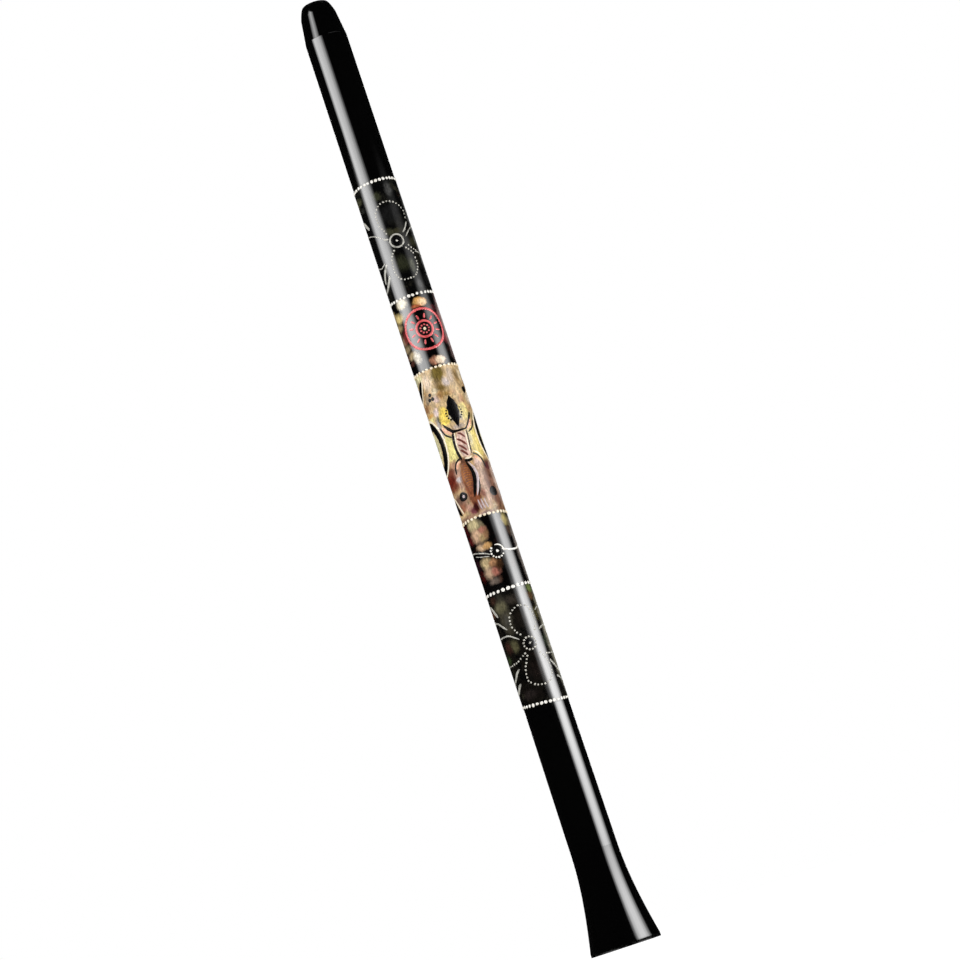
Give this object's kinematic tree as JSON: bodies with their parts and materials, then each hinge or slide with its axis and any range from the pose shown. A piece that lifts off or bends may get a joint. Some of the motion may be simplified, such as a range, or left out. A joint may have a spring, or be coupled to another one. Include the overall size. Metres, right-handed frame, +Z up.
{
  "type": "didgeridoo",
  "caption": "Synthetic didgeridoo: a long, slightly conical drone tube with a rounded mouthpiece, a flared bell, and printed bands between rings of raised paint dots.",
  "frame": {"origin": "centre of the bell's flat rim, on the tube's axis", "axes": "+Z up along the tube's axis, from the bell to the mouth; the printed motifs face -Y"},
  "size_m": [0.0916, 0.0916, 1.295],
  "materials": {
    "black_plastic": "high gloss, with faint rubbing marks",
    "mouthpiece_plastic": "gloss, slightly rubbed at the lip",
    "flower_film": "gloss printed film, charcoal with mottled olive",
    "amber_film": "gloss printed film, black with amber and cream spots",
    "motif_film": "gloss printed film, ochre, cream and rust",
    "wave_film": "gloss printed film, black with dark red and cream",
    "dot_paint": "raised white acrylic paint, satin"
  },
  "bodies": {
    "root": {"body_tube": "black_plastic", "mouthpiece": "mouthpiece_plastic", "bell": "black_plastic", "film_upper_flowers": "flower_film", "film_amber_spots": "amber_film", "film_central_motif": "motif_film", "film_wave_line": "wave_film", "film_lower_flowers": "flower_film", "dot_ring_1": "dot_paint", "dot_ring_2": "dot_paint", "dot_ring_3": "dot_paint", "dot_ring_4": "dot_paint", "dot_ring_5": "dot_paint", "dot_ring_6": "dot_paint"}
  },
  "joints": []
}
